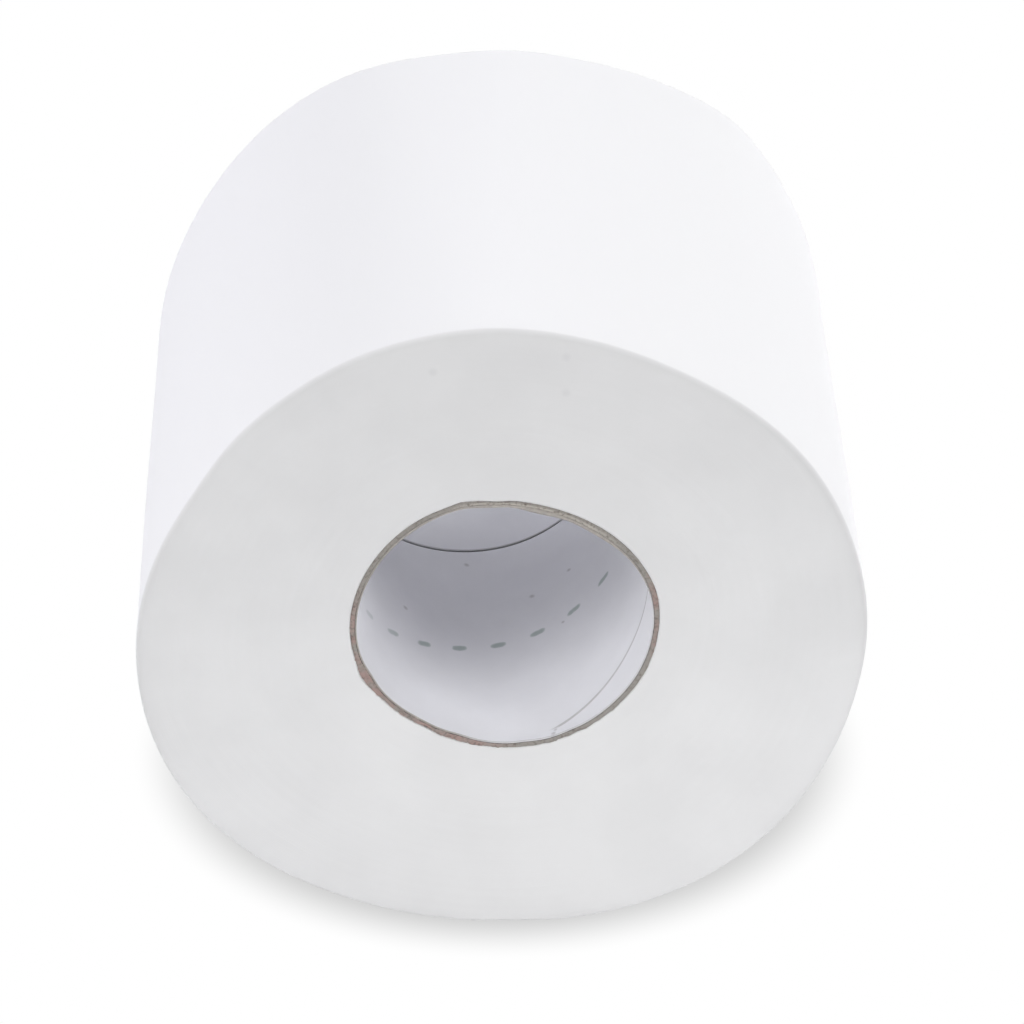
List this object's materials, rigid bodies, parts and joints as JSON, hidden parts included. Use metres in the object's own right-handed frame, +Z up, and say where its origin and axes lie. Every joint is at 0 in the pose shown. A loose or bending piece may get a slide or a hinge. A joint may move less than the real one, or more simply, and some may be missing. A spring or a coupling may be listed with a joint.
{
  "type": "toilet paper roll",
  "caption": "Soft white toilet paper roll lying on its side, wound on a board core with a pale liner and an open bore for a holder.",
  "frame": {"origin": "on the surface that the roll lies on, under the middle of its box", "axes": "+Y along the roll's axis, away from the end that the picture shows; +Z up; +X to the right as that end is looked at"},
  "size_m": [0.1122, 0.09, 0.1105],
  "materials": {
    "tissue": "soft white creped tissue, matte",
    "board": "grey-brown recycled board with a raw cut edge",
    "liner": "thin white paper with a faint dashed ink line, matte"
  },
  "bodies": {
    "root": {"tissue_roll": "tissue", "core_board": "board", "core_liner": "liner"}
  },
  "joints": []
}
